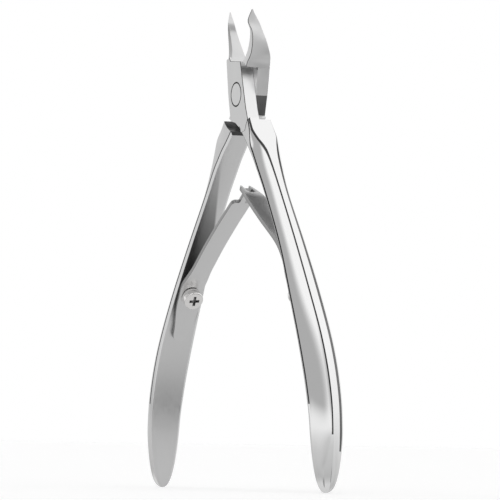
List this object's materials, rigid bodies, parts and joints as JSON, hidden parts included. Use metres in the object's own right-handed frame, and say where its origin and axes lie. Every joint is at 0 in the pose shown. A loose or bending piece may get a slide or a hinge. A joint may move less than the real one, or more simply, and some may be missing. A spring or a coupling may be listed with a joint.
{
  "type": "cuticle nipper",
  "caption": "Hand cuticle nipper: two lapped forged steel halves on a flush rivet, short hollow-ground cutting jaws, curved ridged handles and an interlocking double leaf spring.",
  "frame": {"origin": "middle of the open tool's box, on the plane under the handle ends", "axes": "+Z from the handle ends to the jaw tips, X the way the handles spread, Y the pivot axis with the cutting edges at the -Y side"},
  "size_m": [0.0956, 0.0086, 0.1087],
  "materials": {
    "forged_steel": "polished outside, satin ground on the inner faces, lap and jaws",
    "rivet_steel": "satin, ground flush",
    "spring_steel": "fine satin",
    "screw_steel": "bright nickel"
  },
  "bodies": {
    "right_half": {"right_half": "forged_steel", "pivot_rivet": "rivet_steel", "right_spring_screw": "screw_steel"},
    "left_half": {"left_half": "forged_steel", "left_spring_screw": "screw_steel"},
    "right_spring": {"right_spring": "spring_steel"},
    "left_spring": {"left_spring": "spring_steel"}
  },
  "joints": [
    {"name": "jaw_pivot", "type": "hinge", "parent": "right_half", "child": "left_half", "pos_m": [0, 0, 0.0896], "axis": [0, -1, 0], "range_deg": [0, 34.5], "stiffness_Nm_per_rad": 0.8},
    {"name": "right_spring_flex", "type": "hinge", "parent": "right_half", "child": "right_spring", "pos_m": [0.0306, 0, 0.0449], "axis": [0, 1, 0], "range_deg": [0, 10.8], "deforming": ["right_spring"]},
    {"name": "left_spring_flex", "type": "hinge", "parent": "left_half", "child": "left_spring", "pos_m": [-0.0306, 0, 0.0449], "axis": [0, -1, 0], "range_deg": [0, 10.8], "deforming": ["left_spring"]}
  ],
  "couplings": [
    {"joint": "right_spring_flex", "follows": "jaw_pivot", "ratio": 0.304},
    {"joint": "left_spring_flex", "follows": "jaw_pivot", "ratio": 0.304}
  ]
}
